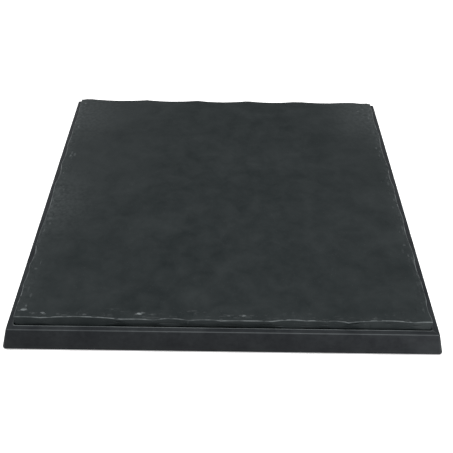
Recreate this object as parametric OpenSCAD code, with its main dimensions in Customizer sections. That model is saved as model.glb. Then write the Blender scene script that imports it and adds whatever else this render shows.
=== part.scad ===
// Serving board of slate. A slab of slate with hand-dressed edges lies in the shallow recess of a
// moulded base. The base has a narrow flat rim round the slab and a skirt that flares outward to
// the table. Its underside is hollow and ribbed, and it stands on four push-in feet. Four thin
// pads in the recess carry the slab, which lifts straight out.
// The origin is on the table, under the middle of the board. X is to the right, Y to the back.

/* [Base] */
// Width and depth of the base at the foot of its skirt
base_side = 305; // [220:1:400]
// Height of the base from the foot of its skirt to its rim
base_height = 15.7; // [14:0.1:24]
// How far each side of the skirt flares outward between the rim and its foot
skirt_flare = 4.5; // [1:0.1:8]
// Width of the flat rim from the skirt to the recess
rim_width = 4.4; // [3:0.1:8]
// Radius that rounds the rim's outer and inner edges
rim_edge_radius = 0.8; // [0.3:0.05:1.1]
// Radius of the base's corners in plan, at the rim
corner_radius = 1.2; // [1:0.1:10]
// Radius of the base's corners in plan, at the foot of the skirt
foot_corner_radius = 3.2; // [1:0.1:12]
// Depth of the recess that the slab lies in
recess_depth = 3.2; // [1.5:0.1:4.5]
// Radius of the recess's corners in plan
recess_corner_radius = 3; // [1:0.1:3.4]

/* [Underside] */
// Thickness of the skirt's wall
skirt_wall = 3.6; // [2:0.1:5]
// Thickness of the floor between the recess and the hollow underneath
floor_thickness = 4; // [3:0.1:5]
// Radius of the hollow's corners in plan, at the floor
hollow_corner_radius = 2; // [0.5:0.1:5]
// Number of stiffening ribs each way
rib_count = 2; // [1:1:3]
// Thickness of each rib
rib_thickness = 2.4; // [1.5:0.1:4]
// Thickness of the webs between the bosses and the skirt
web_thickness = 2; // [1:0.1:3]
// How far the ribs and webs stop above the foot of the skirt
rib_setback = 1.5; // [0.5:0.1:4]

/* [Slab] */
// Thickness of the slate
slab_thickness = 8; // [5:0.1:14]
// Gap between the slab and the wall of the recess, all the way round
slab_clearance = 0.5; // [0.4:0.05:2]
// Radius of the slab's corners in plan, where it is widest
slab_corner_radius = 4.2; // [4:0.1:12]
// How far the dressed face leans inward from its widest line to the top
face_lean = 1; // [0.5:0.1:2]
// Number of scallops that the dressing left along each side
scallops_per_side = 5; // [3:1:10]
// Depth of the deepest scallop
scallop_depth = 2.1; // [0:0.1:2.4]
// Number of small chips along each side
chips_per_side = 13; // [7:1:24]
// Depth of the deepest small chip
chip_depth = 0.3; // [0:0.05:0.5]

/* [Feet] */
// Diameter of a foot's head
foot_diameter = 15; // [12:0.5:20]
// Height of a foot's head
foot_head_height = 3; // [2.4:0.1:4]
// How far the feet hold the skirt off the table
foot_stand = 1; // [0.5:0.1:1.4]
// Distance from the foot of the skirt to the middle of a foot
foot_inset = 27.5; // [24:0.5:45]
// Diameter of a foot's stem
foot_stem_diameter = 6; // [4:0.1:8]
// Length of a foot's stem
foot_stem_length = 6; // [3:0.1:6.5]
// Radius that rounds the lower edge of a foot's head
foot_edge_radius = 1; // [0.4:0.1:1.4]
// Diameter of the shallow dimple under a foot
foot_dimple_diameter = 6; // [3:0.5:8]
// Depth of that dimple
foot_dimple_depth = 0.5; // [0.2:0.1:1]

/* [Pads] */
// Diameter of a pad
pad_diameter = 12; // [6:0.5:20]
// Thickness of a pad
pad_thickness = 1.6; // [1:0.1:2.4]
// How far a pad stands above the floor of the recess
pad_stand = 1; // [0.5:0.1:1.4]

/* [Hidden] */
$fn = 96;

// Fits and overruns
cut_overrun = 1;
socket_clearance = 0.3;
stem_clearance = 0.05;
stem_end_gap = 0.5;
pad_clearance = 0.15;
boss_wall = 3.2;
boss_diameter = foot_diameter + 2 * socket_clearance + 2 * boss_wall;
foot_socket_depth = 1.4;
stem_tip_chamfer = 0.8;

// Heights above the table
rim_z = foot_stand + base_height;
recess_floor_z = rim_z - recess_depth;
hollow_top_z = recess_floor_z - floor_thickness;
rib_bottom_z = foot_stand + rib_setback;
boss_bottom_z = foot_head_height - foot_socket_depth;
slab_bottom_z = recess_floor_z + pad_stand;

// Half widths from the middle of the board
base_half = base_side / 2;
rim_half = base_half - skirt_flare;
recess_half = rim_half - rim_width;
slab_half = recess_half - slab_clearance;
foot_reach = base_half - foot_inset;

// The skirt's lean as an angle from upright, and how far it has drawn in at a height
skirt_angle = atan(skirt_flare / base_height);
function drawn_in(z) = skirt_flare * (z - foot_stand) / base_height;

// Steps of the round outlines at the base's corners and across the rim's outer edge
skirt_corner_steps = 8;
rim_round_steps = 6;

// Corner middles, from which the corners' radii are measured
recess_core = recess_half - recess_corner_radius;
hollow_core = base_half - drawn_in(hollow_top_z) - skirt_wall - hollow_corner_radius;

// The dressed face, from the underside to the top, as shares of the slab's thickness, of the lean
// and of the depth of its scallops and chips
face_height_shares = [0, 0.1, 0.55, 0.86, 1];
face_lean_shares = [0.5, 0, 0.15, 0.25, 1];
face_scallop_shares = [0, 0, 0.35, 1, 1];
face_chip_shares = [0.3, 0.6, 1, 0.7, 0.4];
face_levels = len(face_height_shares);
side_steps = 72;
corner_steps = 5;
// Share of a side that stays plain at each of its ends
plain_share = 0.045;
// No scallop is shallower than this share of the deepest one
shallowest_share = 0.45;
// Share of a side by which the scallops drift along it, so that they differ in width
drift_share = 0.02;
// Turn from each scallop or chip to the next, in degrees, that spreads their depths
depth_turn = 137;

// Ring by ring outline of the slab

function spread_share(i) = shallowest_share + (1 - shallowest_share) * (0.5 + 0.5 * sin(depth_turn * i));

// Depth share of a row of equal hollows at t, from 0 to 1 along a side, with a cusp between each two
function hollow_share(t, count, seed) =
    let (i = min(floor(t * count), count - 1))
    sin(180 * (t * count - i)) * spread_share(i + seed * count);

function drifted(t, side) = t + drift_share * cos(90 * side + 40) * sin(360 * t);

function scalloped(t) = max(0, min(1, (t - plain_share) / (1 - 2 * plain_share)));

// How far the outline lies inside the slab's widest line
function face_inset(side, t, level) =
    face_lean * face_lean_shares[level]
    + scallop_depth * face_scallop_shares[level]
        * hollow_share(scalloped(drifted(t, side)), scallops_per_side, side)
    + chip_depth * face_chip_shares[level] * hollow_share(drifted(t, side), chips_per_side, side + level);

slab_core = slab_half - slab_corner_radius;

function turned(p, side) = [
    p[0] * cos(90 * side) - p[1] * sin(90 * side),
    p[0] * sin(90 * side) + p[1] * cos(90 * side)
];

function side_point(side, t, level) =
    turned([slab_core * (2 * t - 1), -slab_core - slab_corner_radius + face_inset(side, t, level)], side);

function corner_point(side, a, level) =
    let (reach = slab_corner_radius - face_inset(side, 1, level))
    turned([slab_core + reach * sin(a), -slab_core - reach * cos(a)], side);

function slab_ring(level) = [
    for (side = [0:3])
        each concat(
            [for (i = [0:side_steps]) side_point(side, i / side_steps, level)],
            [for (j = [1:corner_steps - 1]) corner_point(side, 90 * j / corner_steps, level)]
        )
];

// Level outline of the base, and where it lies on the rim's rounded outer edge at an angle

function round_square(half, radius) = [
    for (side = [0:3], j = [0:skirt_corner_steps])
        let (a = 90 * j / skirt_corner_steps)
        turned([half - radius + radius * sin(a), radius - half - radius * cos(a)], side)
];

function skirt_radius(half, z) =
    corner_radius + (foot_corner_radius - corner_radius) * (rim_z - z) / base_height
    - (base_half - drawn_in(z) - half);

function rim_round_half(a) = rim_half - rim_edge_radius * (tan(45 - skirt_angle / 2) - cos(a));
function rim_round_z(a) = rim_z - rim_edge_radius * (1 - sin(a));

function raised(ring, z) = [for (p = ring) [p[0], p[1], z]];

// Solid between level outlines of equally many points, listed from the lowest to the highest
module lofted(rings) {
    count = len(rings[0]);
    last = count * (len(rings) - 1);
    below = last + count;
    above = below + 1;
    sides = [
        for (level = [0:len(rings) - 2], i = [0:count - 1])
            let (j = (i + 1) % count, low = level * count, high = low + count)
            each [[low + i, high + i, high + j], [low + i, high + j, low + j]]
    ];
    ends = [
        for (i = [0:count - 1])
            let (j = (i + 1) % count)
            each [[below, i, j], [above, last + j, last + i]]
    ];
    middles = [[0, 0, rings[0][0][2]], [0, 0, rings[len(rings) - 1][0][2]]];
    polyhedron(points = concat([for (ring = rings) each ring], middles), faces = concat(sides, ends));
}

// A square outline with round corners, swept along a half section. The section is drawn outward
// from the corners' middles, which lie core away from both axes, and fills z from low to high.
module swept_square(core, low, high) {
    translate([-core, -core, low])
        cube([2 * core, 2 * core, high - low]);
    for (turn = [0:90:270])
        rotate([0, 0, turn]) {
            translate([core, core, 0])
                rotate([90, 0, 0])
                    linear_extrude(height = 2 * core)
                        children();
            translate([core, core, 0])
                rotate_extrude(angle = 90)
                    children();
        }
}

// Outside of the base, with the rim's outer edge rounded
module skirt() {
    angles = [for (i = [0:rim_round_steps]) skirt_angle + (90 - skirt_angle) * i / rim_round_steps];
    rounded = [
        for (a = angles)
            let (half = rim_round_half(a), z = rim_round_z(a))
            raised(round_square(half, skirt_radius(half, z)), z)
    ];
    lofted(concat([raised(round_square(base_half, foot_corner_radius), foot_stand)], rounded));
}

// Half section of the space cut for the slab, with the rim's inner edge left round
module recess_section() {
    difference() {
        translate([0, recess_floor_z])
            square([recess_corner_radius + rim_edge_radius, recess_depth + cut_overrun]);
        translate([recess_corner_radius, recess_floor_z - cut_overrun])
            square([2 * rim_edge_radius, recess_depth + cut_overrun - rim_edge_radius]);
        translate([recess_corner_radius + rim_edge_radius, rim_z - rim_edge_radius])
            circle(r = rim_edge_radius);
    }
}

// Half section of the hollow under the floor. Its side follows the skirt.
module hollow_section() {
    bottom_z = foot_stand - cut_overrun;
    top_x = hollow_corner_radius;
    bottom_x = top_x + drawn_in(hollow_top_z) - drawn_in(bottom_z);
    polygon([
        [0, bottom_z],
        [bottom_x, bottom_z],
        [top_x, hollow_top_z],
        [0, hollow_top_z]
    ]);
}

// Ribs that cross the hollow both ways
module ribs() {
    spacing = 2 * base_half / (rib_count + 1);
    for (turn = [0, 90], i = [1:rib_count])
        rotate([0, 0, turn])
            translate([-base_half, i * spacing - base_half - rib_thickness / 2, rib_bottom_z])
                cube([2 * base_half, rib_thickness, hollow_top_z - rib_bottom_z + cut_overrun]);
}

module at_feet() {
    for (x = [-1, 1], y = [-1, 1])
        translate([x * foot_reach, y * foot_reach, 0])
            children();
}

// Boss that holds one foot
module boss() {
    translate([0, 0, boss_bottom_z])
        cylinder(d = boss_diameter, h = hollow_top_z - boss_bottom_z + cut_overrun);
}

// Webs that tie each boss to the two sides of the skirt beside it
module boss_webs() {
    for (x = [-1, 1], y = [-1, 1])
        at_corner(x, y) {
            translate([foot_reach, foot_reach - web_thickness / 2, rib_bottom_z])
                cube([foot_inset, web_thickness, hollow_top_z - rib_bottom_z + cut_overrun]);
            translate([foot_reach - web_thickness / 2, foot_reach, rib_bottom_z])
                cube([web_thickness, foot_inset, hollow_top_z - rib_bottom_z + cut_overrun]);
        }
}

// Mirrors its children to the corner named by the signs of x and y
module at_corner(x, y) {
    mirror([x < 0 ? 1 : 0, 0, 0])
        mirror([0, y < 0 ? 1 : 0, 0])
            children();
}

// Socket for a foot's head, with the bore for its stem above
module foot_socket() {
    translate([0, 0, boss_bottom_z - cut_overrun])
        cylinder(d = foot_diameter + 2 * socket_clearance, h = foot_socket_depth + cut_overrun);
    translate([0, 0, foot_head_height - cut_overrun])
        cylinder(
            d = foot_stem_diameter + 2 * stem_clearance,
            h = foot_stem_length + stem_end_gap + cut_overrun
        );
}

module base() {
    color([0.165, 0.172, 0.18])
        difference() {
            skirt();
            swept_square(recess_core, recess_floor_z, rim_z + cut_overrun)
                recess_section();
            difference() {
                swept_square(hollow_core, foot_stand - cut_overrun, hollow_top_z)
                    hollow_section();
                ribs();
                at_feet() boss();
                boss_webs();
            }
            at_feet() foot_socket();
            at_feet()
                translate([0, 0, slab_bottom_z - pad_thickness])
                    cylinder(d = pad_diameter + 2 * pad_clearance, h = pad_thickness);
        }
}

module slate_slab() {
    color([0.2, 0.216, 0.22])
        lofted([
            for (level = [0:face_levels - 1])
                raised(slab_ring(level), slab_bottom_z + slab_thickness * face_height_shares[level])
        ]);
}

// Half section of a foot: a round-edged head and a stem with a chamfered tip
module foot_section() {
    foot_radius = foot_diameter / 2;
    stem_radius = foot_stem_diameter / 2;
    stem_top_z = foot_head_height + foot_stem_length;
    dimple_radius = foot_dimple_diameter / 2;
    polygon([
        [0, foot_dimple_depth],
        [dimple_radius, foot_dimple_depth],
        [dimple_radius, 0],
        [foot_radius - foot_edge_radius, 0],
        [foot_radius, foot_edge_radius],
        [foot_radius, foot_head_height],
        [stem_radius, foot_head_height],
        [stem_radius, stem_top_z - stem_tip_chamfer],
        [stem_radius - stem_tip_chamfer, stem_top_z],
        [0, stem_top_z]
    ]);
    translate([foot_radius - foot_edge_radius, foot_edge_radius])
        intersection() {
            circle(r = foot_edge_radius);
            translate([0, -foot_edge_radius])
                square(foot_edge_radius);
        }
}

// One foot, at a corner named by the signs of its x and y
module foot(x, y) {
    color([0.09, 0.09, 0.09])
        translate([x * foot_reach, y * foot_reach, 0])
            rotate_extrude()
                foot_section();
}

// One pad, straight above the foot at the same corner
module pad(x, y) {
    color([0.12, 0.12, 0.12])
        translate([x * foot_reach, y * foot_reach, slab_bottom_z - pad_thickness])
            cylinder(d = pad_diameter, h = pad_thickness);
}

base();
slate_slab();
foot(-1, -1);  // foot_front_left
foot(1, -1);  // foot_front_right
foot(-1, 1);  // foot_back_left
foot(1, 1);  // foot_back_right
pad(-1, -1);  // pad_front_left
pad(1, -1);  // pad_front_right
pad(-1, 1);  // pad_back_left
pad(1, 1);  // pad_back_right
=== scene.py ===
"""Slate serving board: a hand-dressed slab of slate in a low moulded base, dressed for a plain studio."""
import logging
import math
import random
from collections.abc import Callable, Iterator
from contextlib import contextmanager
from dataclasses import dataclass, field
from enum import Enum

import bpy
from mathutils import Matrix, Vector


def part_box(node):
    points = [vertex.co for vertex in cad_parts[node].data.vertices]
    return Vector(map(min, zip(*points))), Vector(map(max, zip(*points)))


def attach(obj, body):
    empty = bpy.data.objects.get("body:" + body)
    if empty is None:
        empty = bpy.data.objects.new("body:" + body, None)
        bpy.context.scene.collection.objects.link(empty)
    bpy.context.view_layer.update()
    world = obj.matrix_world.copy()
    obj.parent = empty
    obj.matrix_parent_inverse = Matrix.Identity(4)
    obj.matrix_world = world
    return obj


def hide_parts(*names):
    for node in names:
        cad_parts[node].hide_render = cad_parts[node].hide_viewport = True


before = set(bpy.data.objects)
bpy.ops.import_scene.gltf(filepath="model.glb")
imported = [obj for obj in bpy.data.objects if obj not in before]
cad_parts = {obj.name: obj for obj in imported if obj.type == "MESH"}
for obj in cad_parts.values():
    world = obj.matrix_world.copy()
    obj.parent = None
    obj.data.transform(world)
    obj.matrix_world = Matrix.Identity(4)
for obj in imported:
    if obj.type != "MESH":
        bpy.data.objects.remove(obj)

log = logging.getLogger("serving_board")
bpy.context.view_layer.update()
MM = 0.001
LEVEL = 0.01 * MM  # heights this close together are one height
SAME_PLACE = 0.001 * MM  # points this close together are merged

Socket = bpy.types.NodeSocket
Piece = bpy.types.Object
Colour = tuple[float, float, float]
Span = tuple[float, float]
BLACK: Colour = (0.0, 0.0, 0.0)
WHITE: Colour = (1.0, 1.0, 1.0)
UNEVEN: Span = (0.36, 0.60)  # where most values of a noise lie


class Side(Enum):
    """A side of the square board, by the turn in quarter circles that brings the front side there."""

    FRONT = 0
    RIGHT = 1
    BACK = 2
    LEFT = 3

    def place(self, along: float, outward: float, height: float) -> Vector:
        """Finds a point along a side (rightwards as seen from outside), outward from the middle and up."""
        turn = Matrix.Rotation(self.value * math.pi / 2, 4, "Z")
        return turn @ Vector((along, -outward, height))


class Cut(Enum):
    """The two ways in which one closed shape works on another."""

    ADD = "UNION"
    REMOVE = "DIFFERENCE"


def pick(piece: Piece) -> None:
    """Makes a piece the only selected and the active one.

    Args:
        piece: the piece to work on.
    """
    bpy.ops.object.select_all(action="DESELECT")
    piece.select_set(True)
    bpy.context.view_layer.objects.active = piece


@contextmanager
def editing(piece: Piece, kind: str = "FACE", whole: bool = False) -> Iterator[None]:
    """Opens a piece in edit mode for the length of a with block.

    Args:
        piece: the piece to edit.
        kind: what is selected there, VERT, EDGE or FACE.
        whole: whether all of the piece is selected at the start.

    Yields:
        Nothing.
    """
    pick(piece)
    bpy.ops.object.mode_set(mode="EDIT")
    bpy.ops.mesh.select_mode(type=kind)
    if whole:
        bpy.ops.mesh.select_all(action="SELECT")
    try:
        yield
    finally:
        bpy.ops.object.mode_set(mode="OBJECT")


def unselect(mesh: bpy.types.Mesh) -> None:
    """Takes every point, edge and face of a mesh out of the selection."""
    for group in (mesh.vertices, mesh.edges, mesh.polygons):
        group.foreach_set("select", [False] * len(group))


def select_edges(piece: Piece, test: Callable[[Vector, Vector], bool]) -> int:
    """Selects a piece's edges by the places of their two ends, with the piece in object mode.

    Args:
        piece: the piece whose edges are selected.
        test: says of an edge's two ends whether the edge is wanted.

    Returns:
        How many edges were selected.
    """
    mesh = piece.data
    unselect(mesh)
    found = 0
    for edge in mesh.edges:
        a, b = (mesh.vertices[i].co for i in edge.vertices)
        if test(a, b):
            edge.select = True
            found += 1
    return found


def select_faces(piece: Piece, test: Callable[[Vector], bool]) -> int:
    """Selects a piece's faces by the places of their middles, with the piece in object mode.

    Args:
        piece: the piece whose faces are selected.
        test: says of a face's middle whether the face is wanted.

    Returns:
        How many faces were selected.
    """
    mesh = piece.data
    unselect(mesh)
    found = 0
    for polygon in mesh.polygons:
        if test(polygon.center):
            polygon.select = True
            found += 1
            for index in polygon.vertices:
                mesh.vertices[index].select = True
    for edge in mesh.edges:
        edge.select = all(mesh.vertices[index].select for index in edge.vertices)
    return found


def weld(piece: Piece) -> None:
    """Merges points of a piece that lie in the same place and closes any slit that this opens.

    Args:
        piece: the piece to weld.
    """
    with editing(piece, "VERT", whole=True):
        bpy.ops.mesh.remove_doubles(threshold=SAME_PLACE)
        bpy.ops.mesh.select_all(action="SELECT")
        bpy.ops.mesh.fill_holes(sides=0)


def take_last(name: str) -> Piece:
    """Names the primitive that was just added and moves its place, turn and size into its mesh.

    Args:
        name: the name it gets.

    Returns:
        The new piece.
    """
    piece = bpy.context.view_layer.objects.active
    piece.name = piece.data.name = name
    pick(piece)
    bpy.ops.object.transform_apply(location=True, rotation=True, scale=True)
    return piece


def join(parts: list[Piece]) -> Piece:
    """Joins several objects into the first of them.

    Args:
        parts: the objects to join.

    Returns:
        The first object, which now holds all the meshes.
    """
    pick(parts[0])
    for part in parts[1:]:
        part.select_set(True)
    bpy.ops.object.join()
    return parts[0]


def combine(piece: Piece, tool: Piece, cut: Cut) -> None:
    """Works a closed tool into a closed piece and takes the tool away.

    Args:
        piece: the piece that is changed.
        tool: the shape that is added or removed.
        cut: which of the two is done.
    """
    pick(piece)
    step = piece.modifiers.new(cut.name.lower(), "BOOLEAN")
    step.operation = cut.value
    step.solver = "MANIFOLD"
    step.object = tool
    bpy.ops.object.modifier_apply(modifier=step.name)
    bpy.data.objects.remove(tool)


def soften(piece: Piece, degrees: float) -> None:
    """Shades a piece smooth, but for edges sharper than an angle in degrees."""
    pick(piece)
    bpy.ops.object.shade_smooth_by_angle(angle=math.radians(degrees))


def reach(place: Vector, corner: float, half: float) -> float:
    """Measures how far out a point lies, along lines square to a round-cornered square.

    Args:
        place: the point.
        corner: radius of the square's corners.
        half: half of the square's width.

    Returns:
        The half width of the similar square that runs through the point.
    """
    core = half - corner
    x, y = abs(place.x) - core, abs(place.y) - core
    if x > 0 and y > 0:
        return core + math.hypot(x, y)
    return core + max(x, y)


def mark(piece: Piece, name: str, share: Callable[[Vector], float]) -> None:
    """Writes on each of a piece's points a share that its place gives, for the finish to read."""
    layer = piece.data.attributes.get(name) or piece.data.attributes.new(name, "FLOAT", "POINT")
    layer.data.foreach_set("value", [share(vertex.co) for vertex in piece.data.vertices])


@dataclass(frozen=True)
class Noise:
    """One pattern of noise that runs through a piece."""

    scale: float
    detail: float
    roughness: float
    distortion: float = 0.0


@dataclass(frozen=True)
class Grain:
    """A fine relief that a pattern raises."""

    strength: float
    distance: float


@dataclass(frozen=True)
class Surface:
    """What a surface does with light, apart from its colour."""

    gloss: Span
    specular: float
    ior: float = 1.5


class Wiring:
    """The node tree of a material or a world."""

    def __init__(self, owner: bpy.types.Material | bpy.types.World) -> None:
        """Gives the material or the world an empty tree.

        Args:
            owner: the material or the world.
        """
        owner.use_nodes = True
        self.tree = owner.node_tree
        self.tree.nodes.clear()

    def node(self, kind: str, *feeds: object, **settings: object) -> bpy.types.Node:
        """Adds a shader node. An input that gets a socket is linked to it.

        Args:
            kind: the node's type, without the ShaderNode before it.
            feeds: what its inputs get, in their order.
            settings: what its own fields or its inputs get, by name.

        Returns:
            The new node.
        """
        made = self.tree.nodes.new("ShaderNode" + kind)
        for name, value in (*settings.items(), *enumerate(feeds)):
            if isinstance(name, str) and hasattr(made, name):
                setattr(made, name, value)
                continue
            entry = made.inputs[name.replace("_", " ") if isinstance(name, str) else name]
            if isinstance(value, Socket):
                self.tree.links.new(value, entry)
            else:
                entry.default_value = value
        return made

    def noise(self, noise: Noise, place: Socket) -> Socket:
        """Adds a pattern of noise, read at a place."""
        fine = {"Detail": noise.detail, "Roughness": noise.roughness, "Distortion": noise.distortion}
        return self.node("TexNoise", Vector=place, Scale=noise.scale, **fine).outputs["Fac"]

    def lift(self, grain: Grain, pattern: Socket, **under: Socket) -> Socket:
        """Adds a relief that a pattern raises, on top of a finer one where Normal gives it."""
        sizes = {"Strength": grain.strength, "Distance": grain.distance}
        return self.node("Bump", Height=pattern, **sizes, **under).outputs["Normal"]

    def product(self, first: Socket, second: Socket | float) -> Socket:
        """Multiplies a value by another or by a number."""
        return self.node("Math", first, second, operation="MULTIPLY").outputs["Value"]

    def blended(self, first: Socket, second: Socket, shares: Span) -> Socket:
        """Adds up shares of two patterns."""
        rest = self.product(second, shares[1])
        return self.node("Math", first, shares[0], rest, operation="MULTIPLY_ADD").outputs["Value"]

    def spread(self, value: Socket, onto: Span, source: Span = (0.0, 1.0)) -> Socket:
        """Spreads a value that lies in one span over another."""
        return self.node("MapRange", value, *source, *onto).outputs["Result"]

    def tinted(self, colour: Socket, share: Socket, tint: Colour) -> Socket:
        """Mixes a share of a tint into a colour."""
        return self.node("MixRGB", share, colour, (*tint, 1.0)).outputs["Color"]

    def marked(self, name: str) -> Socket:
        """Reads one of a piece's marks."""
        return self.node("Attribute", attribute_name=name).outputs["Fac"]

    def paled_where_marked(
        self, colour: Socket, patches: Socket, pale: Colour, name: str = "wear_and_highlight", least: float = 0.3
    ) -> Socket:
        """Pales a colour where the piece is marked, more in some patches than in others; the marks carry wear
        and bruising together with painted highlights, and painted sheen.

        Args:
            colour: the colour before paling.
            patches: a noise that makes the paling uneven.
            pale: the colour of the most paled places.
            name: name of the mark.
            least: how much of the paling is left in the least paled patches.

        Returns:
            The paled colour.
        """
        uneven = self.spread(patches, (least, 1.0), UNEVEN)
        return self.tinted(colour, self.product(self.marked(name), uneven), pale)

    def ramp(self, value: Socket, stops: Span, dark: Colour, light: Colour) -> Socket:
        """Turns a value into a colour between two.

        Args:
            value: the value.
            stops: the values at which the two colours are reached.
            dark: colour of the first stop.
            light: colour of the second stop.

        Returns:
            The colour.
        """
        made = self.node("ValToRGB", value)
        for stop, position, colour in zip(made.color_ramp.elements, stops, (dark, light)):
            stop.position = position
            stop.color = (*colour, 1.0)
        return made.outputs["Color"]

    def close(self, surface: Surface, colour: Socket, dullness: Socket, normal: Socket) -> None:
        """Ends the tree with the shader of a surface.

        Args:
            surface: what the surface does with light.
            colour: its colour.
            dullness: the pattern that its roughness follows.
            normal: its direction.
        """
        shader = self.node(
            "BsdfPrincipled", Base_Color=colour, Roughness=self.spread(dullness, surface.gloss),
            IOR=surface.ior, Specular_IOR_Level=surface.specular, Normal=normal,
        )
        self.node("OutputMaterial", Surface=shader.outputs["BSDF"])

    def show(self, real: Socket, seen: Socket, kind: str) -> None:
        """Ends the tree with one shader that lights the board and another that the camera sees.

        Args:
            real: the shader that lights the board.
            seen: the shader that the camera sees.
            kind: the type of the tree's last node.
        """
        camera = self.node("LightPath").outputs["Is Camera Ray"]
        shown = self.node("MixShader", camera, real, seen).outputs["Shader"]
        self.node(kind, Surface=shown)


@dataclass(frozen=True)
class Finish:
    """A finish with its own node tree, shared by the pieces that wear it."""

    name: str

    def material(self) -> bpy.types.Material:
        """Makes the material or finds it.

        Returns:
            The material of this finish.
        """
        known = bpy.data.materials.get(self.name)
        if known:
            return known
        made = bpy.data.materials.new(self.name)
        self.wire(Wiring(made))
        return made

    def wire(self, wiring: Wiring) -> None:
        """Fills the material's empty node tree. Each finish has its own."""
        raise NotImplementedError

    def dress(self, piece: Piece, slot: str = "") -> None:
        """Gives a piece this finish.

        Args:
            piece: the piece to dress.
            slot: the record's material slot, where the piece is a new one; not used.
        """
        piece.data.materials.clear()
        piece.data.materials.append(self.material())


@dataclass(frozen=True)
class SlateFinish(Finish):
    """Oiled natural slate: cloudy blue-green grey with a fine grain and a few pale specks, with painted sheen
    in patches, and pale bruised edges and scars that also carry painted highlights and glints.
    """

    name: str = "oiled_slate"
    deep: Colour = (0.0075, 0.0105, 0.0112)
    pale: Colour = (0.0175, 0.0212, 0.0220)
    speck: Colour = (0.0600, 0.0660, 0.0660)
    # pale colour of bruises, which also stands for painted highlights and glints
    bruise_highlight: Colour = (0.1400, 0.1550, 0.1570)
    # colour of the painted sheen
    sheen_pale: Colour = (0.0340, 0.0390, 0.0400)
    clouds: Noise = Noise(11.0, 6.0, 0.58, 0.6)
    cloud_stretch: Colour = (1.0, 1.9, 1.0)
    mottle: Noise = Noise(70.0, 7.0, 0.62, 0.3)
    cleft: Noise = Noise(900.0, 3.0, 0.6)
    beads: Noise = Noise(110.0, 3.0, 0.5)
    sheen_patchiness: Noise = Noise(320.0, 4.0, 0.6)
    tone_shares: Span = (0.65, 0.4)
    tone_stops: Span = (0.36, 0.70)
    speck_scale: float = 520.0
    speck_stops: Span = (0.05, 0.11)
    least_bruise_highlight: float = 0.2
    fine: Grain = Grain(0.35, 0.12 * MM)
    coarse: Grain = Grain(0.5, 0.4 * MM)
    surface: Surface = Surface((0.42, 0.62), 0.10)

    def wire(self, wiring: Wiring) -> None:
        """Wires clouds, mottle, specks, painted sheen, bruises that also carry painted highlights, roughness
        and a grainy relief.

        Args:
            wiring: the empty node tree.
        """
        place = wiring.node("TexCoord").outputs["Object"]
        stretched = wiring.node("Mapping", Vector=place, Scale=self.cloud_stretch).outputs["Vector"]
        clouds = wiring.noise(self.clouds, stretched)
        mottle = wiring.noise(self.mottle, place)
        cleft = wiring.noise(self.cleft, place)
        cells = wiring.node("TexVoronoi", Vector=place, Scale=self.speck_scale, Randomness=1.0)
        mixed = wiring.blended(mottle, clouds, self.tone_shares)
        tone = wiring.ramp(mixed, self.tone_stops, self.deep, self.pale)
        specks = wiring.ramp(cells.outputs["Distance"], self.speck_stops, WHITE, BLACK)
        specked = wiring.tinted(tone, wiring.product(specks, cleft), self.speck)
        sheen_painted = wiring.paled_where_marked(specked, wiring.noise(self.sheen_patchiness, place), self.sheen_pale, "painted_sheen")
        bruise_highlighted = wiring.paled_where_marked(sheen_painted, wiring.noise(self.beads, place), self.bruise_highlight, least=self.least_bruise_highlight)
        normal = wiring.lift(self.coarse, mottle, Normal=wiring.lift(self.fine, cleft))
        wiring.close(self.surface, bruise_highlighted, mottle, normal)


@dataclass(frozen=True)
class MouldedFinish(Finish):
    """Charcoal moulding compound with a faint speckle and a spark-eroded grain, paled along the rim's edges
    as painted highlights with some wear, and darkened at the foot of the skirt as painted shade.
    """

    name: str = "charcoal_moulding"
    deep: Colour = (0.0096, 0.0109, 0.0126)
    pale: Colour = (0.0180, 0.0202, 0.0220)
    # colour of the rim's edges, painted highlight with some wear
    rub_highlight: Colour = (0.0950, 0.1045, 0.1070)
    # how much the painted shade at the skirt's foot darkens it
    foot_shade_share: float = 0.12
    speckle: Noise = Noise(260.0, 4.0, 0.7)
    clouds: Noise = Noise(60.0, 5.0, 0.5)
    sparks: Noise = Noise(1500.0, 2.0, 0.5)
    tone_shares: Span = (0.45, 0.55)
    tone_stops: Span = (0.38, 0.64)
    least_rub_highlight: float = 0.7
    skin: Grain = Grain(0.25, 0.08 * MM)
    surface: Surface = Surface((0.36, 0.5), 0.06)

    def wire(self, wiring: Wiring) -> None:
        """Wires the speckle, the painted shade at the foot, the rim's edges paled as painted highlights with
        some wear, the roughness and the grain.

        Args:
            wiring: the empty node tree.
        """
        place = wiring.node("TexCoord").outputs["Object"]
        clouds = wiring.noise(self.clouds, place)
        mixed = wiring.blended(wiring.noise(self.speckle, place), clouds, self.tone_shares)
        tone = wiring.ramp(mixed, self.tone_stops, self.deep, self.pale)
        shade = wiring.product(wiring.marked("foot_shade"), self.foot_shade_share)
        rub_highlight = wiring.paled_where_marked(wiring.tinted(tone, shade, BLACK), clouds, self.rub_highlight, least=self.least_rub_highlight)
        wiring.close(self.surface, rub_highlight, clouds, wiring.lift(self.skin, wiring.noise(self.sparks, place)))


@dataclass(frozen=True)
class RubberFinish(Finish):
    """Matt moulded rubber with a dusty bloom."""

    name: str = "matt_rubber"
    deep: Colour = (0.0100, 0.0100, 0.0105)
    pale: Colour = (0.0210, 0.0210, 0.0215)
    bloom: Noise = Noise(240.0, 5.0, 0.6)
    pores: Noise = Noise(2200.0, 2.0, 0.5)
    tone_stops: Span = (0.35, 0.75)
    skin: Grain = Grain(0.3, 0.06 * MM)
    surface: Surface = Surface((0.62, 0.82), 0.35, 1.48)

    def wire(self, wiring: Wiring) -> None:
        """Wires the bloom, its roughness and the grain.

        Args:
            wiring: the empty node tree.
        """
        place = wiring.node("TexCoord").outputs["Object"]
        bloom = wiring.noise(self.bloom, place)
        tone = wiring.ramp(bloom, self.tone_stops, self.deep, self.pale)
        wiring.close(self.surface, tone, bloom, wiring.lift(self.skin, wiring.noise(self.pores, place)))


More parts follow.
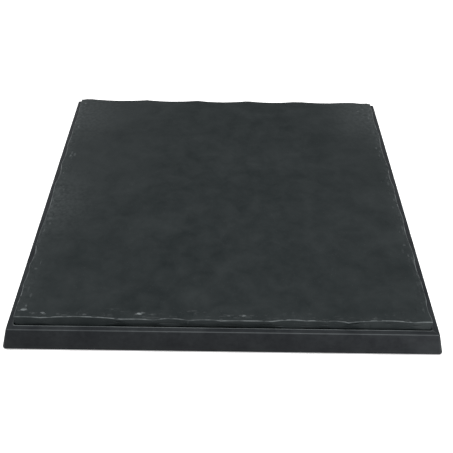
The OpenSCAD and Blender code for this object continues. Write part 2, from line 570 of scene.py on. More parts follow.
@dataclass
class MouldedBase:
    """The base: a flared skirt, a flat rim, the recess and a ribbed hollow underneath."""

    skirt_flare: float = 4.5 * MM
    rim_width: float = 4.4 * MM
    rim_round: float = 0.8 * MM
    rim_corner: float = 1.2 * MM
    recess_depth: float = 3.2 * MM
    recess_corner: float = 1.7 * MM
    skirt_wall: float = 3.6 * MM
    floor_thickness: float = 4.0 * MM
    hollow_corner: float = 2.0 * MM
    rib_count: int = 2
    rib_thickness: float = 2.4 * MM
    web_thickness: float = 2.0 * MM
    rib_setback: float = 1.5 * MM
    boss_radius: float = 11.0 * MM
    socket_radius: float = 7.8 * MM
    socket_depth: float = 1.4 * MM
    bore_radius: float = 3.05 * MM
    bore_depth: float = 6.5 * MM
    pad_socket_radius: float = 6.15 * MM
    pad_socket_depth: float = 0.6 * MM
    foot_round: float = 0.7 * MM
    foot_corner: float = 3.2 * MM
    foot_head: float = 3.0 * MM
    rib_round: float = 0.4 * MM
    rim_line: float = 0.3 * MM
    # how pale each edge of the rim is painted, a painted highlight with some wear, stronger on the front side
    inner_rub_highlight: float = 1.0
    outer_rub_highlight: float = 0.48
    flat_rub_highlight: float = 0.05
    side_inner_rub_highlight: float = 0.25
    side_outer_rub_highlight: float = 0.3
    inner_band_shares: Span = (0.1, 1.05)
    rub_highlight_rise: float = 0.6
    # painted shade at the foot of the skirt
    foot_shade_amount: float = 1.0
    cut_past: float = 1.0 * MM
    least_corner: float = 0.05 * MM
    flat_within: float = 0.005 * MM
    corner_steps: int = 8
    round_steps: int = 6
    rib_steps: int = 3
    round_sides: int = 64
    crease: float = 34.0
    finish: Finish = field(default_factory=MouldedFinish)

    def __post_init__(self) -> None:
        """Takes the outer sizes from the frame."""
        low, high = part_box("base")
        foot_low, foot_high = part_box("foot_front_left")
        self.half = high.x
        self.foot_z = low.z
        self.rim_z = high.z
        self.recess_z = self.rim_z - self.recess_depth
        self.hollow_z = self.recess_z - self.floor_thickness
        self.foot_reach = -(foot_low.x + foot_high.x) / 2
        self.lean = math.atan2(self.skirt_flare, self.rim_z - self.foot_z)

    def drawn_in(self, z: float) -> float:
        """Finds how far inside its foot the skirt is at a height."""
        return self.skirt_flare * (z - self.foot_z) / (self.rim_z - self.foot_z)

    def plate(self, half: float, corner: float, z: float, down: bool = False) -> Piece:
        """Lays one square plate with round corners.

        Args:
            half: half of the plate's width.
            corner: radius of its corners.
            z: its height.
            down: whether its face points down and not up.

        Returns:
            The plate.
        """
        turn = math.pi if down else 0.0
        bpy.ops.mesh.primitive_plane_add(size=2 * half, location=(0, 0, z), rotation=(turn, 0, 0))
        plate = take_last("plate")
        with editing(plate, "VERT", whole=True):
            bpy.ops.mesh.bevel(
                offset=corner, segments=self.corner_steps, affect="VERTICES", clamp_overlap=False
            )
        return plate

    def stepped(self, plate: Piece, steps: list[Span]) -> Piece:
        """Raises a plate into a closed block, by insets and extrusions that each climb a step.

        Args:
            plate: the plate, which becomes the block's first face.
            steps: how far each step goes in and how far it climbs along the plate's normal.

        Returns:
            The closed block.
        """
        upward = plate.data.polygons[0].normal.z
        with editing(plate, whole=True):
            for inward, climb in steps:
                if inward > 0:
                    bpy.ops.mesh.inset(thickness=inward, depth=climb, use_even_offset=True)
                else:
                    move = {"value": (0, 0, climb * upward)}
                    bpy.ops.mesh.extrude_region_move(TRANSFORM_OT_translate=move)
            bpy.ops.mesh.select_all(action="DESELECT")
            bpy.ops.mesh.select_mode(type="EDGE")
            bpy.ops.mesh.select_non_manifold()
            bpy.ops.mesh.edge_face_add()
            bpy.ops.mesh.select_all(action="SELECT")
            bpy.ops.mesh.normals_make_consistent(inside=False)
        return plate

    def outside(self) -> Piece:
        """Models the block inside which the base lies, with its flared skirt and both rounded edges.

        Returns:
            The closed block.
        """
        rings = []
        for i in range(self.round_steps + 1):
            angle = math.pi / 2 * i / self.round_steps
            inward = self.foot_round * (1 - math.sin(angle)) + self.drawn_in(self.foot_z + self.foot_round)
            rings.append((self.half - inward, self.foot_z + self.foot_round * (1 - math.cos(angle))))
        edge = self.half - self.skirt_flare - self.rim_round * math.tan((math.pi / 2 - self.lean) / 2)
        for i in range(self.round_steps + 1):
            angle = self.lean + (math.pi / 2 - self.lean) * i / self.round_steps
            height = self.rim_z - self.rim_round * (1 - math.sin(angle))
            rings.append((edge + self.rim_round * math.cos(angle), height))
        plates = []
        for half, z in rings:
            share = (z - self.foot_z) / (self.rim_z - self.foot_z)
            sharp = self.half - self.drawn_in(z)
            corner = self.foot_corner + (self.rim_corner - self.foot_corner) * share - (sharp - half)
            plates.append(self.plate(half, max(corner, self.least_corner), z))
        block = join(plates)
        with editing(block, "VERT", whole=True):
            bpy.ops.mesh.convex_hull(join_triangles=True)
            bpy.ops.mesh.normals_make_consistent(inside=False)
        return block

    def recess(self) -> Piece:
        """Models the space cut for the slab, with the rim's inner edge left round.

        Returns:
            The closed block that is taken away.
        """
        half = self.half - self.skirt_flare - self.rim_width + self.rim_round
        steps = [(0.0, self.cut_past)]
        for i in range(self.round_steps):
            now, then = (math.pi / 2 * (i + k) / self.round_steps for k in (0, 1))
            steps.append((
                self.rim_round * (math.sin(then) - math.sin(now)),
                self.rim_round * (math.cos(now) - math.cos(then)),
            ))
        steps.append((0.0, self.recess_depth - self.rim_round))
        corner = self.recess_corner + self.rim_round
        return self.stepped(self.plate(half, corner, self.rim_z + self.cut_past, True), steps)

    def hollow(self) -> Piece:
        """Models the space under the base, whose sides follow the skirt.

        Returns:
            The closed block that is taken away.
        """
        low = self.foot_z - self.cut_past
        inward = self.drawn_in(self.hollow_z) - self.drawn_in(low)
        half = self.half - self.skirt_wall - self.drawn_in(low)
        plate = self.plate(half, self.hollow_corner + inward, low)
        return self.stepped(plate, [(inward, self.hollow_z - low)])

    def bar(self, length: float, thickness: float, middle: Vector, turn: float) -> Piece:
        """Models one rib or web with softened lower edges.

        Args:
            length: the bar's length.
            thickness: its thickness.
            middle: the middle of its lower face.
            turn: its turn about the upright, in radians.

        Returns:
            The bar.
        """
        top = self.hollow_z + self.cut_past
        height = top - middle.z
        bpy.ops.mesh.primitive_cube_add(
            size=1, location=(middle.x, middle.y, middle.z + height / 2), rotation=(0, 0, turn),
            scale=(length, thickness, height),
        )
        made = take_last("bar")
        select_edges(made, lambda a, b: max(a.z, b.z) < middle.z + LEVEL and (a - b).length > 2 * thickness)
        with editing(made, "EDGE"):
            bpy.ops.mesh.bevel(offset=self.rib_round, segments=self.rib_steps, affect="EDGES")
        return made

    def cylinder(self, radius: float, low: float, high: float, x: float, y: float) -> Piece:
        """Models a plain upright cylinder, a tool for bosses and sockets.

        Args:
            radius: its radius.
            low: height of its lower face.
            high: height of its upper face.
            x: place of its axis to the right.
            y: place of its axis to the back.

        Returns:
            The cylinder.
        """
        bpy.ops.mesh.primitive_cylinder_add(
            vertices=self.round_sides, radius=radius, depth=high - low, location=(x, y, (low + high) / 2)
        )
        return take_last("cylinder")

    def build(self) -> Piece:
        """Models the whole base and dresses it.

        Returns:
            The finished base.
        """
        base = self.outside()
        combine(base, self.recess(), Cut.REMOVE)
        combine(base, self.hollow(), Cut.REMOVE)
        pitch = 2 * self.half / (self.rib_count + 1)
        for turn in (0.0, math.pi / 2):
            for i in range(1, self.rib_count + 1):
                offset = i * pitch - self.half
                middle = Matrix.Rotation(turn, 4, "Z") @ Vector((0, offset, self.foot_z + self.rib_setback))
                length = 2 * (self.half - self.drawn_in(self.hollow_z) - self.skirt_wall / 2)
                combine(base, self.bar(length, self.rib_thickness, middle, turn), Cut.ADD)
        for x in (-1, 1):
            for y in (-1, 1):
                self.fit_foot(base, x * self.foot_reach, y * self.foot_reach)
        weld(base)
        flats = select_faces(base, lambda middle: middle.z > self.rim_z - self.flat_within)
        with editing(base):
            bpy.ops.mesh.inset(thickness=self.rim_line, depth=0)
            bpy.ops.transform.resize(value=(1, 1, 0), center_override=(0, 0, self.rim_z))
        weld(base)
        log.info("edged the %d faces of the rim's flat", flats)
        base.name = base.data.name = "moulded_base"
        soften(base, self.crease)
        # the rim's edges are paled as painted highlights, strongest on the front side, with some wear
        mark(base, "wear_and_highlight", self.rub_highlight)
        # the foot of the skirt is darkened as painted shade
        mark(base, "foot_shade", self.foot_shaded)
        self.finish.dress(base, "base")
        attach(base, "base")
        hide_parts("base")
        log.info("base: %d faces", len(base.data.polygons))
        return base

    def rub_highlight(self, place: Vector) -> float:
        """Says how much a point of the base is paled: a painted highlight along the rim's rounded edges,
        strongest on the front side, with some wear.

        Args:
            place: the point.

        Returns:
            The most on the middle of each rounded edge of the rim, a trace on its flat, 0 away from them.
        """
        below = self.rim_z - place.z
        if below > self.rim_round or below < -self.cut_past:
            return 0.0
        front = -place.y > abs(place.x)
        recess_half = self.half - self.skirt_flare - self.rim_width
        outward = reach(place, self.recess_corner, recess_half) - recess_half
        inmost, outmost = self.inner_band_shares
        if outward <= inmost * self.rim_round:
            return 0.0
        if outward < self.rim_round * outmost:
            return self.inner_rub_highlight if front else self.side_inner_rub_highlight
        if abs(below) < LEVEL:
            return self.flat_rub_highlight
        lowest = self.rim_round * (1 - math.sin(self.lean))
        share = below / lowest
        most = self.outer_rub_highlight if front else self.side_outer_rub_highlight
        return most * math.sin(math.pi * share ** self.rub_highlight_rise) if 0 < share < 1 else 0.0

    def foot_shaded(self, place: Vector) -> float:
        """Says where the base is darkened as painted shade, which is at the foot of the skirt."""
        return self.foot_shade_amount if place.z < self.foot_z + 2 * self.foot_round else 0.0

    def fit_foot(self, base: Piece, x: float, y: float) -> None:
        """Adds one boss with its webs and cuts its sockets and bore.

        Args:
            base: the base that gets them.
            x: place of the foot to the right.
            y: place of the foot to the back.
        """
        boss_z = self.foot_head - self.socket_depth
        past = self.cut_past
        combine(base, self.cylinder(self.boss_radius, boss_z, self.hollow_z + past, x, y), Cut.ADD)
        wall = self.half - self.drawn_in(self.hollow_z) - self.skirt_wall / 2
        length = wall - abs(x)
        low = self.foot_z + self.rib_setback
        sideways = Vector((x + math.copysign(length / 2, x), y, low))
        lengthways = Vector((x, y + math.copysign(length / 2, y), low))
        combine(base, self.bar(length, self.web_thickness, sideways, 0.0), Cut.ADD)
        combine(base, self.bar(length, self.web_thickness, lengthways, math.pi / 2), Cut.ADD)
        seat = boss_z + self.socket_depth
        combine(base, self.cylinder(self.socket_radius, boss_z - past, seat, x, y), Cut.REMOVE)
        combine(base, self.cylinder(self.bore_radius, seat - past, seat + self.bore_depth, x, y), Cut.REMOVE)
        floor = self.recess_z - self.pad_socket_depth
        combine(base, self.cylinder(self.pad_socket_radius, floor, self.recess_z + past, x, y), Cut.REMOVE)


@dataclass(frozen=True)
class Scallop:
    """A shallow hollow that one long stroke of the dressing hammer left in a side."""

    along: float
    chord: float
    depth: float


@dataclass(frozen=True)
class Flake:
    """A thin flake lifted off the slab's top, at a place along a side and inside its edge."""

    side: Side
    along: float
    inside: float
    width: float
    reach: float
    bite: float
    bruise_highlight: float


def scallops(*rows: tuple[float, float, float]) -> list[Scallop]:
    """Lists scallops given in millimetres, as place along the side, chord and depth."""
    return [Scallop(*(value * MM for value in row)) for row in rows]


def flaked(*rows: tuple[Side, float, float, float, float, float, float]) -> tuple[Flake, ...]:
    """Lists flakes given in millimetres, but for the side and how pale the scar is."""
    return tuple(Flake(row[0], *(value * MM for value in row[1:6]), row[6]) for row in rows)


@dataclass(frozen=True)
class SheenPatch:
    """A patch of painted sheen on the top, by its middle and half sizes."""

    x: float
    y: float
    wide: float
    deep: float
    amount: float


def listed_sheen_patches(*rows: tuple[float, float, float, float, float]) -> tuple[SheenPatch, ...]:
    """Lists patches of painted sheen given in millimetres, but for their amount."""
    return tuple(SheenPatch(*(value * MM for value in row[:4]), row[4]) for row in rows)


@dataclass
class DressedSlab:
    """The slab of slate: a softly uneven face and edges struck off by hand.

    The spans of chips and flakes are what their random sizes lie between, in millimetres
    unless their names end in shares.
    """

    corner: float = 2.0 * MM
    chip_margin: float = 4.2 * MM
    edge_round: float = 0.55 * MM
    foot_chamfer: float = 0.5 * MM
    corner_steps: int = 10
    ridge_steps: int = 3
    outline_band: float = 12 * MM
    scallop_lean: float = 17.0
    usual_scallop: float = 1.5 * MM
    tool_heights: int = 6
    ridge_share: float = 0.9
    # paleness of the top's rounded edge: bruising with a painted highlight
    edge_bruise_highlight: float = 0.61
    side_bruise_highlight: float = 1.4
    scar_depth: float = 2.2
    ragged: float = 0.05 * MM
    relief: float = 0.22 * MM
    waves: tuple[Span, ...] = ((38 * MM, 0.55), (12 * MM, 0.30), (5 * MM, 0.15))
    wave_depth: int = 2
    still_edge: float = 4 * MM
    wave_fade: float = 10 * MM
    grid: float = 2.2 * MM
    grid_start: float = 0.013 * MM
    blow_detail: int = 3
    blow_rounds: int = 4
    chips_per_side: int = 26
    chip_place_shares: Span = (-0.3, 0.3)
    chip_length_shares: Span = (0.6, 1.7)
    chip_reach: Span = (1.0, 2.2)
    chip_height: Span = (0.35, 1.0)
    chip_bite: Span = (0.12, 0.5)
    chip_depth: Span = (0.1, 5.2)
    beside_size_shares: Span = (0.5, 0.9)
    beside_along_shares: Span = (-1.3, 1.3)
    beside_inside_shares: Span = (-0.7, 0.7)
    beside_bruise_highlight_shares: Span = (0.15, 0.55)
    flakes_per_side: tuple[int, ...] = (17, 23, 27, 31)
    flake_margin: float = 8 * MM
    flake_place_shares: Span = (-0.2, 0.2)
    widest_flake_share: float = 0.36
    flake_width: Span = (0.8, 3.6)
    flake_rows: tuple[float, ...] = (0.8, 1.6, 2.6, 4.2, 6.2)
    flake_row_shares: Span = (0.6, 1.3)
    flake_reach: Span = (0.6, 1.7)
    flake_bite: Span = (0.12, 0.32)
    # paleness of the scars, bruising with painted glints
    flake_bruise_highlights: tuple[float, ...] = (0.0, 0.0, 0.04, 0.08, 0.16)
    front_bruise_highlight_share: float = 0.4
    crease: float = 28.0
    seed: int = 21
    seeds: int = 9999
    strokes: dict[Side, list[Scallop]] = field(default_factory=lambda: {
        Side.FRONT: scallops(
            (-137, 44, 1.7), (-99, 70, 2.5), (-60, 40, 0.9), (-36, 26, 1.8), (-12, 26, 1.1), (18, 60, 0.7),
            (47, 32, 2.0), (62, 24, 1.6), (76, 20, 1.5), (111, 54, 2.4), (139, 28, 1.7)
        ),
        Side.BACK: scallops(
            (144, 12, 1.2), (104.6, 58, 2.3), (54, 54, 2.4), (5, 50, 2.4), (-45, 44, 1.9), (-95.5, 42, 1.5),
            (-135, 16, 1.0), (-144, 12, 1.6)
        ),
        Side.LEFT: scallops(
            (120, 20, 0.6), (100, 18, 0.8), (80, 22, 1.4), (25, 56, 1.2), (-20, 26, 1.5), (-50, 28, 1.1),
            (-80, 30, 0.9), (-112, 34, 0.9)
        ),
        Side.RIGHT: scallops(
            (-129, 18, 1.0), (-90, 24, 0.9), (-51, 36, 1.2), (-12, 40, 1.2), (21, 24, 1.4), (60, 46, 1.4),
            (108, 40, 1.0)
        ),
    })
    # the last column is how pale each scar is painted, a bruise with a painted glint
    flakes: tuple[Flake, ...] = flaked(
        (Side.FRONT, -57.6, 5.9, 2.8, 1.2, 0.30, 0.8),
        (Side.FRONT, -137.2, 8.2, 3.0, 1.2, 0.28, 0.72),
        (Side.FRONT, -123.9, 5.4, 2.2, 1.2, 0.26, 0.45),
        (Side.FRONT, 13.9, 5.2, 2.6, 1.1, 0.24, 0.4),
        (Side.FRONT, -130.7, 5.3, 2.1, 1.1, 0.22, 0.5),
        (Side.FRONT, 3.6, 5.0, 2.4, 1.0, 0.20, 0.25),
        (Side.FRONT, -48.6, 5.3, 2.4, 0.9, 0.18, 0.25),
        (Side.FRONT, -77.2, 9.6, 3.0, 1.1, 0.16, 0.08),
        (Side.FRONT, -95.0, 4.6, 2.0, 0.8, 0.18, 0.2),
        (Side.FRONT, 77.0, 5.0, 2.6, 0.9, 0.18, 0.1),
        (Side.FRONT, 104.0, 4.2, 2.2, 0.9, 0.18, 0.25),
        (Side.LEFT, 131.2, 6.6, 1.8, 1.2, 0.22, 0.4),
        (Side.LEFT, -93.1, 4.8, 2.2, 1.0, 0.22, 0.35),
        (Side.LEFT, -28.7, 5.3, 1.4, 1.4, 0.22, 0.35),
        (Side.LEFT, -46.5, 5.6, 2.0, 1.2, 0.22, 0.35),
        (Side.LEFT, -21.4, 4.1, 1.8, 1.0, 0.22, 0.3),
        (Side.LEFT, 37.9, 4.8, 2.0, 1.5, 0.22, 0.3),
        (Side.LEFT, -134.5, 5.0, 1.8, 0.9, 0.20, 0.35),
        (Side.RIGHT, -75.9, 4.0, 1.8, 0.9, 0.20, 0.35),
        (Side.RIGHT, 53.3, 4.9, 2.0, 1.1, 0.20, 0.15),
        (Side.RIGHT, -129.9, 4.1, 1.8, 0.9, 0.20, 0.3),
        (Side.BACK, -134.5, 12.6, 1.8, 1.4, 0.20, 0.3),
        (Side.BACK, -129.0, 16.4, 2.0, 1.4, 0.20, 0.3),
    )
    # patches of painted sheen at the back corners and along the left edge
    sheen_patches: tuple[SheenPatch, ...] = listed_sheen_patches(
        (-140, 118, 34, 42, 0.7), (138, 126, 30, 44, 0.8), (-141, -18, 28, 38, 0.75),
        (-141, -110, 14, 30, 0.2),
    )
    # painted sheen along the left and right edges
    sheen_edge: float = 6.0 * MM
    edge_sheen_share: float = 0.3
    finish: Finish = field(default_factory=SlateFinish)

    def __post_init__(self) -> None:
        """Takes the slab's sizes from the frame."""
        low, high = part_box("slate_slab")
        self.half = high.x
        self.low_z = low.z
        self.top_z = high.z
        self.chance = random.Random(self.seed)

    def block(self) -> Piece:
        """Models the plain block, a little narrower at its foot.

        Returns:
            The closed block.
        """
        low_half = self.half - self.foot_chamfer
        bpy.ops.mesh.primitive_plane_add(size=2 * low_half, location=(0, 0, self.low_z))
        block = take_last("slab_block")
        rest = self.top_z - self.low_z - 2 * self.foot_chamfer
        with editing(block, "VERT", whole=True):
            corner = self.corner - self.foot_chamfer
            bpy.ops.mesh.bevel(offset=corner, segments=self.corner_steps, affect="VERTICES")
            bpy.ops.mesh.select_mode(type="FACE")
            bpy.ops.mesh.select_all(action="SELECT")
            share = self.half / low_half
            bpy.ops.mesh.extrude_region_move(TRANSFORM_OT_translate={"value": (0, 0, 2 * self.foot_chamfer)})
            bpy.ops.transform.resize(value=(share, share, 1))
            bpy.ops.mesh.extrude_region_move(TRANSFORM_OT_translate={"value": (0, 0, rest)})
        return block

    def stroke(self, side: Side, scallop: Scallop) -> Piece:
        """Models the leaning round tool whose edge leaves one scallop.

        Args:
            side: the side that is struck.
            scallop: the scallop that it leaves.

        Returns:
            The closed shape that is taken away.
        """
        radius = scallop.chord ** 2 / (8 * scallop.depth) + scallop.depth / 2
        count = 4 * round(math.tau * radius / (4 * self.grid))
        lean = math.radians(self.scallop_lean)
        outward = self.half - scallop.depth + radius * math.cos(lean)
        bpy.ops.mesh.primitive_cylinder_add(
            vertices=count, radius=radius, depth=self.tool_heights * (self.top_z - self.low_z),
            location=side.place(scallop.along, outward, self.top_z + radius * math.sin(lean)),
            rotation=(-lean, 0, side.value * math.pi / 2),
        )
        return take_last("stroke")

    def blow(self, side: Side, along: float, outward: float, height: float, size: Vector) -> Piece:
        """Models the hollow that one small blow of the hammer leaves.

        Args:
            side: the side that is struck.
            along: place along the side.
            outward: place of the hollow's middle out from the middle of the board.
            height: height of the hollow's middle.
            size: radii along the side, outward and upright.

        Returns:
            The closed shape that is taken away.
        """
        bpy.ops.mesh.primitive_ico_sphere_add(
            subdivisions=self.blow_detail, radius=1, location=side.place(along, outward, height),
            scale=size, rotation=(0, 0, side.value * math.pi / 2),
        )
        return take_last("blow")

    def edge_at(self, side: Side, along: float) -> float:
        """Finds how far out the top edge lies.

        Args:
            side: the side.
            along: the place along it.

        Returns:
            The distance from the middle of the board, square to the side.
        """
        inset = 0.0
        for scallop in self.strokes[side]:
            share = 2 * abs(along - scallop.along) / scallop.chord
            if share < 1:
                inset = max(inset, scallop.depth * (1 - share * share))
        return self.half - inset

    def round_top(self, slab: Piece) -> None:
        """Rounds the edge between the top and the dressed sides and marks it pale, as bruising and a painted
        highlight.

        Args:
            slab: the slab.
        """
        inner = self.half - self.outline_band

        def outline(a: Vector, b: Vector) -> bool:
            """Says whether an edge belongs to the top's outline."""
            level = min(a.z, b.z) > self.top_z - LEVEL
            return level and max(abs(a.x), abs(a.y)) > inner and max(abs(b.x), abs(b.y)) > inner

        found = select_edges(slab, outline)
        with editing(slab, "EDGE"):
            bpy.ops.mesh.bevel(
                offset=self.edge_round, segments=self.ridge_steps, affect="EDGES", clamp_overlap=False
            )
        log.info("rounded %d edges of the top", found)
        low, high = self.top_z - self.edge_round * self.ridge_share, self.top_z - LEVEL
        mark(slab, "wear_and_highlight", lambda place: self.bruise_highlighted(place) if low < place.z < high else 0.0)

    def bruise_highlighted(self, place: Vector) -> float:
        """Says how pale the top's rounded edge is painted, as bruising and a painted highlight, which is
        paler on the left and the right side.
        """
        return self.edge_bruise_highlight * (self.side_bruise_highlight if abs(place.x) > abs(place.y) else 1.0)

    def score(self, slab: Piece) -> None:
        """Divides the slab into small squares as seen from above, which the relief needs.

        Args:
            slab: the slab.
        """
        lines = int(self.half / self.grid)
        with editing(slab):
            for i in range(-lines, lines + 1):
                for normal in ((1, 0, 0), (0, 1, 0)):
                    place = tuple(i * self.grid * n + self.grid_start for n in normal)
                    bpy.ops.mesh.select_all(action="SELECT")
                    bpy.ops.mesh.bisect(plane_co=place, plane_no=normal)

    def cleave(self, slab: Piece) -> None:
        """Gives the top the soft waves of split slate, which fade out towards its edge.

        Args:
            slab: the slab.
        """
        group = slab.vertex_groups.new(name="cleft")
        for vertex in slab.data.vertices:
            if vertex.co.z > self.top_z - LEVEL:
                outward = max(abs(vertex.co.x), abs(vertex.co.y))
                fade = min(1.0, max(0.0, (self.half - self.still_edge - outward) / self.wave_fade))
                if fade > 0:
                    group.add([vertex.index], fade, "REPLACE")
        for size, share in self.waves:
            waves = bpy.data.textures.new("cleft_waves", "CLOUDS")
            waves.noise_scale = size
            waves.noise_depth = self.wave_depth
            step = slab.modifiers.new("waves", "DISPLACE")
            step.texture = waves
            step.texture_coords = "LOCAL"
            step.direction = "Z"
            step.strength = self.relief * share
            step.mid_level = 1.0
            step.vertex_group = "cleft"
            pick(slab)
            bpy.ops.object.modifier_apply(modifier=step.name)

    def draw(self, span: Span) -> float:
        """Draws the next random number that lies in a span."""
        return self.chance.uniform(*span)

    def chip_faces(self, slab: Piece) -> None:
        """Splits thin chips off the dressed faces, along the slate's layers.

        Args:
            slab: the slab to dress.
        """
        rounds: list[list[Piece]] = [[] for _ in range(self.blow_rounds)]
        pitch = 2 * (self.half - self.chip_margin) / self.chips_per_side
        lean = math.tan(math.radians(self.scallop_lean))
        for side in Side:
            for i in range(self.chips_per_side):
                steps = i + 0.5 + self.draw(self.chip_place_shares)
                along = -self.half + self.chip_margin + pitch * steps
                size = Vector((
                    pitch * self.draw(self.chip_length_shares),
                    self.draw(self.chip_reach) * MM,
                    self.draw(self.chip_height) * MM,
                ))
                bite = self.draw(self.chip_bite) * MM
                below = self.edge_round + size.z + self.draw(self.chip_depth) * MM
                share = max(0.0, 1 - below * lean / self.usual_scallop)
                outward = self.half - (self.half - self.edge_at(side, along)) * share + size.y - bite
                rounds[i % self.blow_rounds].append(self.blow(side, along, outward, self.top_z - below, size))
        for blows in rounds:
            combine(slab, join(blows), Cut.REMOVE)

    def lift_flakes(self, slab: Piece) -> None:
        """Lifts thin flakes off the top along the edges, whose scars are paled as bruises and painted glints.

        Args:
            slab: the slab to dress.
        """
        rounds: list[list[Piece]] = [[] for _ in range(self.blow_rounds)]
        for flake in self.flakes:
            rounds[-1].append(self.lift(flake))
            for blows in rounds[:-1]:
                size = self.draw(self.beside_size_shares)
                blows.append(self.lift(Flake(
                    flake.side,
                    flake.along + self.draw(self.beside_along_shares) * flake.width,
                    flake.inside + self.draw(self.beside_inside_shares) * flake.reach,
                    flake.width * size,
                    flake.reach * size,
                    flake.bite * size,
                    flake.bruise_highlight * self.draw(self.beside_bruise_highlight_shares),
                )))
        for count in self.flakes_per_side:
            rounds.insert(0, self.scatter(count))
        for blows in rounds:
            hollows = join(blows)
            with editing(hollows, "VERT", whole=True):
                bpy.ops.transform.vertex_random(offset=self.ragged, seed=self.chance.randrange(self.seeds))
            combine(slab, hollows, Cut.REMOVE)

    def scatter(self, count: int) -> list[Piece]:
        """Models small flakes spread along all four edges, none of which touches another.

        Args:
            count: how many there are along each side.

        Returns:
            The closed shapes that are taken away.
        """
        blows = []
        pitch = 2 * (self.half - self.flake_margin) / count
        for side in Side:
            paleness = 1.0 if side in (Side.LEFT, Side.RIGHT) else self.front_bruise_highlight_share
            for i in range(count):
                steps = i + 0.5 + self.draw(self.flake_place_shares)
                along = -self.half + self.flake_margin + pitch * steps
                edge = self.half - self.edge_at(side, along)
                width = min(self.widest_flake_share * pitch, self.draw(self.flake_width) * MM)
                row = self.chance.choice(self.flake_rows) * self.draw(self.flake_row_shares) * MM
                blows.append(self.lift(Flake(
                    side,
                    along,
                    edge + row,
                    width,
                    self.draw(self.flake_reach) * MM,
                    self.draw(self.flake_bite) * MM,
                    self.chance.choice(self.flake_bruise_highlights) * paleness,
                )))
        return blows

    def sheen_amount(self, place: Vector) -> float:
        """Says how much painted sheen a point of the slab gets.

        Args:
            place: the point.

        Returns:
            0 where there is no painted sheen, 1 where it is strongest.
        """
        inside = self.half - abs(place.x)
        total = self.edge_sheen_share * math.exp(-(inside / self.sheen_edge) ** 2)
        for patch in self.sheen_patches:
            across, away = (place.x - patch.x) / patch.wide, (place.y - patch.y) / patch.deep
            total += patch.amount * math.exp(-across * across - away * away)
        return min(1.0, total)

    def lift(self, flake: Flake) -> Piece:
        """Models the ragged hollow of one flake.

        Args:
            flake: the flake.

        Returns:
            The closed shape that is taken away, marked pale as a bruise and a painted glint.
        """
        upright = self.scar_depth * flake.bite
        size = Vector((flake.width, flake.reach, upright))
        height = self.top_z + upright - flake.bite
        hollow = self.blow(flake.side, flake.along, self.half - flake.inside, height, size)
        mark(hollow, "wear_and_highlight", lambda place: flake.bruise_highlight)
        return hollow

    def build(self) -> Piece:
        """Models the whole slab and dresses it.

        Returns:
            The finished slab.
        """
        slab = self.block()
        for side, row in self.strokes.items():
            for scallop in row:
                combine(slab, self.stroke(side, scallop), Cut.REMOVE)
        self.round_top(slab)
        self.score(slab)
        self.cleave(slab)
        self.chip_faces(slab)
        self.lift_flakes(slab)
        # marks the painted sheen along the side edges and in patches
        mark(slab, "painted_sheen", self.sheen_amount)
        weld(slab)
        slab.name = slab.data.name = "slate"
        soften(slab, self.crease)
        self.finish.dress(slab, "slate")
        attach(slab, "slab")
        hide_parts("slate_slab")
        log.info("slate: %d faces", len(slab.data.polygons))
        return slab


@dataclass
class SoftParts:
    """The feet and the pads, whose solids are right and only need their finish."""

    corners: tuple[str, ...] = ("front_left", "front_right", "back_left", "back_right")
    finish: Finish = field(default_factory=RubberFinish)

    def build(self) -> None:
        """Dresses the four feet and the four pads."""
        for kind in ("foot", "pad"):
            for corner in self.corners:
                self.finish.dress(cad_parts[f"{kind}_{corner}"])
                log.info("%s_%s dressed", kind, corner)


@dataclass(frozen=True)
class Lamp:
    """One soft rectangular lamp that faces the board. Its power is in watts."""

    name: str
    place: tuple[float, float, float]
    size: Span
    power: float

    def hang(self) -> None:
        """Hangs the lamp in its place."""
        data = bpy.data.lights.new(self.name, "AREA")
        data.shape = "RECTANGLE"
        data.size, data.size_y = self.size
        data.energy = self.power
        lamp = bpy.data.objects.new(self.name, data)
        lamp.location = self.place
        lamp.rotation_euler = (-Vector(self.place)).to_track_quat("-Z", "Y").to_euler()
        bpy.context.scene.collection.objects.link(lamp)


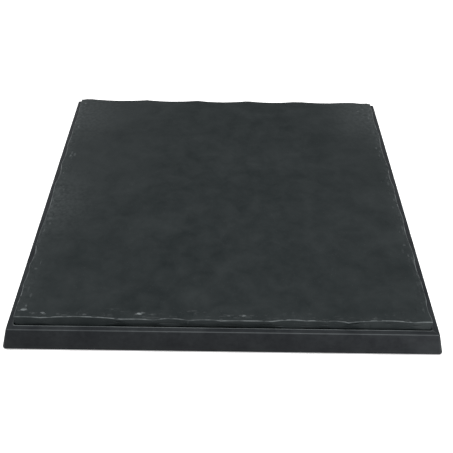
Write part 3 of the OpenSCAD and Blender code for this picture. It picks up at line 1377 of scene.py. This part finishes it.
@dataclass
class Studio:
    """The pale table, the soft light and the camera of the photograph."""

    frame_pixels: float = 453.0
    focal_pixels: float = 680.3
    sensor: float = 36.0
    nearest_seen: float = 10 * MM
    eye: tuple[float, float, float] = (-0.44 * MM, -446.82 * MM, 376.93 * MM)
    heading: float = 0.293
    look_down: float = 41.467
    roll: float = 0.993
    world_level: float = 0.4
    floor_size: float = 14.0
    floor_glow: float = 0.45
    floor_colour: Colour = (0.80, 0.80, 0.80)
    lamps: tuple[Lamp, ...] = (
        Lamp("overhead", (0.0, -0.25, 1.5), (0.5, 0.4), 27.8),
        Lamp("back_left", (-0.55, 1.30, 0.70), (0.5, 0.3), 1.5),
        Lamp("back_right", (0.65, 1.30, 0.70), (0.4, 0.3), 1.3),
        Lamp("low_right", (0.26, -0.26, 0.012), (0.06, 0.02), 0.28),
        Lamp("front", (0.0, -1.2, 0.3), (0.5, 0.25), 2.0),
    )

    def camera(self) -> None:
        """Sets up the camera where the photograph was taken from."""
        turn, down, roll = (math.radians(a) for a in (self.heading, self.look_down, self.roll))
        ahead = Vector((math.sin(turn) * math.cos(down), math.cos(turn) * math.cos(down), -math.sin(down)))
        level = Vector((math.cos(turn), -math.sin(turn), 0))
        above = level.cross(ahead)
        right = math.cos(roll) * level + math.sin(roll) * above
        up = -math.sin(roll) * level + math.cos(roll) * above
        data = bpy.data.cameras.new("camera")
        data.sensor_width = self.sensor
        data.lens = self.focal_pixels / self.frame_pixels * self.sensor
        data.clip_start = self.nearest_seen
        eye = bpy.data.objects.new("camera", data)
        columns = Matrix((right, up, -ahead)).transposed().to_4x4()
        eye.matrix_world = Matrix.Translation(Vector(self.eye)) @ columns
        bpy.context.scene.collection.objects.link(eye)
        bpy.context.scene.camera = eye

    def floor(self) -> None:
        """Lays the table top, which the camera sees as plain white with a soft shadow."""
        bpy.ops.mesh.primitive_plane_add(size=self.floor_size, location=(0, 0, 0))
        floor = take_last("floor")
        material = bpy.data.materials.new("table_top")
        wiring = Wiring(material)
        paper = wiring.node("BsdfDiffuse", Color=(*self.floor_colour, 1.0)).outputs["BSDF"]
        glow = wiring.node("Emission", Strength=self.floor_glow).outputs["Emission"]
        wiring.show(paper, wiring.node("AddShader", paper, glow).outputs["Shader"], "OutputMaterial")
        floor.data.materials.append(material)

    def world(self) -> None:
        """Fills the room with even light and shows it white to the camera."""
        world = bpy.data.worlds.new("room")
        bpy.context.scene.world = world
        wiring = Wiring(world)
        room, white = (
            wiring.node("Background", Color=(*WHITE, 1.0), Strength=level).outputs["Background"]
            for level in (self.world_level, 1.0)
        )
        wiring.show(room, white, "OutputWorld")

    def build(self) -> None:
        """Sets up the whole studio."""
        self.camera()
        self.floor()
        self.world()
        for lamp in self.lamps:
            lamp.hang()
        bpy.context.scene.view_settings.view_transform = "Standard"


def main() -> None:
    """Builds the board and its studio in order."""
    logging.basicConfig(level=logging.INFO, format="%(name)s: %(message)s")
    MouldedBase().build()
    DressedSlab().build()
    SoftParts().build()
    Studio().build()


if __name__ == "__main__":
    main()
